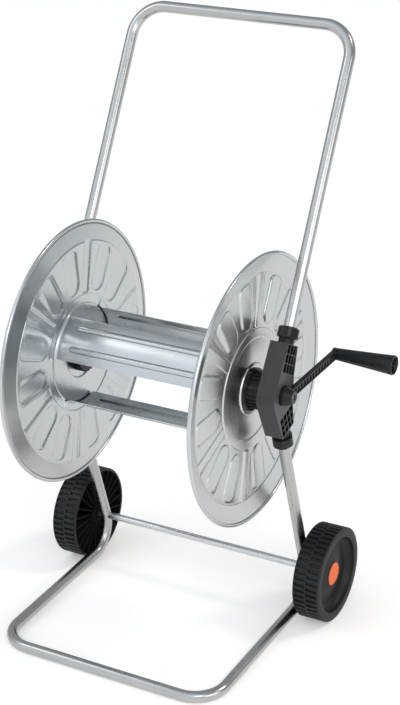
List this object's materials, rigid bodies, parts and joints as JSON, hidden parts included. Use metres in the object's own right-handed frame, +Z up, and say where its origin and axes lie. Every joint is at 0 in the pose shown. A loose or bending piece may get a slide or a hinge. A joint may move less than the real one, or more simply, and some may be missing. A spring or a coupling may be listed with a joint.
{
  "type": "hose reel cart",
  "caption": "Two-wheeled cart with a crank-driven galvanised drum on a bent tube frame, for winding, storing and moving a garden hose.",
  "frame": {"origin": "on the ground, in the middle of the whole cart's length and width", "axes": "+X along the reel axis towards the crank, +Y towards the rear, where the handle leans to, +Z up"},
  "size_m": [0.567, 0.4898, 0.933],
  "materials": {
    "galvanised_tube": "satin galvanised tube",
    "galvanised_sheet": "smooth galvanised sheet",
    "charcoal_plastic": "satin moulded",
    "black_plastic": "satin moulded",
    "wheel_plastic": "satin moulded",
    "orange_plastic": "gloss moulded",
    "pale_plastic": "matt moulded",
    "bright_steel": "bright zinc plated",
    "seal_rubber": "matt rubber"
  },
  "bodies": {
    "frame": {"handle_tube": "galvanised_tube", "base_tube": "galvanised_tube", "left_bracket": "charcoal_plastic", "right_bracket": "charcoal_plastic", "handle_nuts": "black_plastic", "leg_nuts": "black_plastic", "handle_clamp_rings": "pale_plastic", "leg_clamp_rings": "pale_plastic", "left_bush": "black_plastic", "right_bush": "black_plastic", "inlet_elbow": "black_plastic", "inlet_seals": "seal_rubber", "inlet_screws": "bright_steel", "axle": "bright_steel", "wheel_spacers": "black_plastic", "push_nuts": "bright_steel"},
    "reel": {"left_disc": "galvanised_sheet", "right_disc": "galvanised_sheet", "drum_plate_1": "galvanised_sheet", "drum_plate_2": "galvanised_sheet", "drum_plate_3": "galvanised_sheet", "left_hub": "black_plastic", "right_hub": "black_plastic", "left_ring_nut": "black_plastic", "right_ring_nut": "black_plastic", "hose_outlet": "black_plastic", "outlet_seal": "seal_rubber", "crank": "black_plastic", "crank_screw": "bright_steel"},
    "grip": {"grip": "black_plastic"},
    "left_wheel": {"left_wheel": "wheel_plastic", "left_cap": "orange_plastic"},
    "right_wheel": {"right_wheel": "wheel_plastic", "right_cap": "orange_plastic"}
  },
  "joints": [
    {"name": "reel_spin", "type": "hinge", "parent": "frame", "child": "reel", "pos_m": [-0.0368, -0.02788, 0.43], "axis": [1, 0, 0], "continuous": true},
    {"name": "grip_spin", "type": "hinge", "parent": "reel", "child": "grip", "pos_m": [0.1892, 0.11306, 0.44731], "axis": [1, 0, 0], "continuous": true},
    {"name": "left_wheel_spin", "type": "hinge", "parent": "frame", "child": "left_wheel", "pos_m": [-0.2395, 0.08665, 0.0775], "axis": [1, 0, 0], "continuous": true},
    {"name": "right_wheel_spin", "type": "hinge", "parent": "frame", "child": "right_wheel", "pos_m": [0.1659, 0.08665, 0.0775], "axis": [1, 0, 0], "continuous": true}
  ]
}
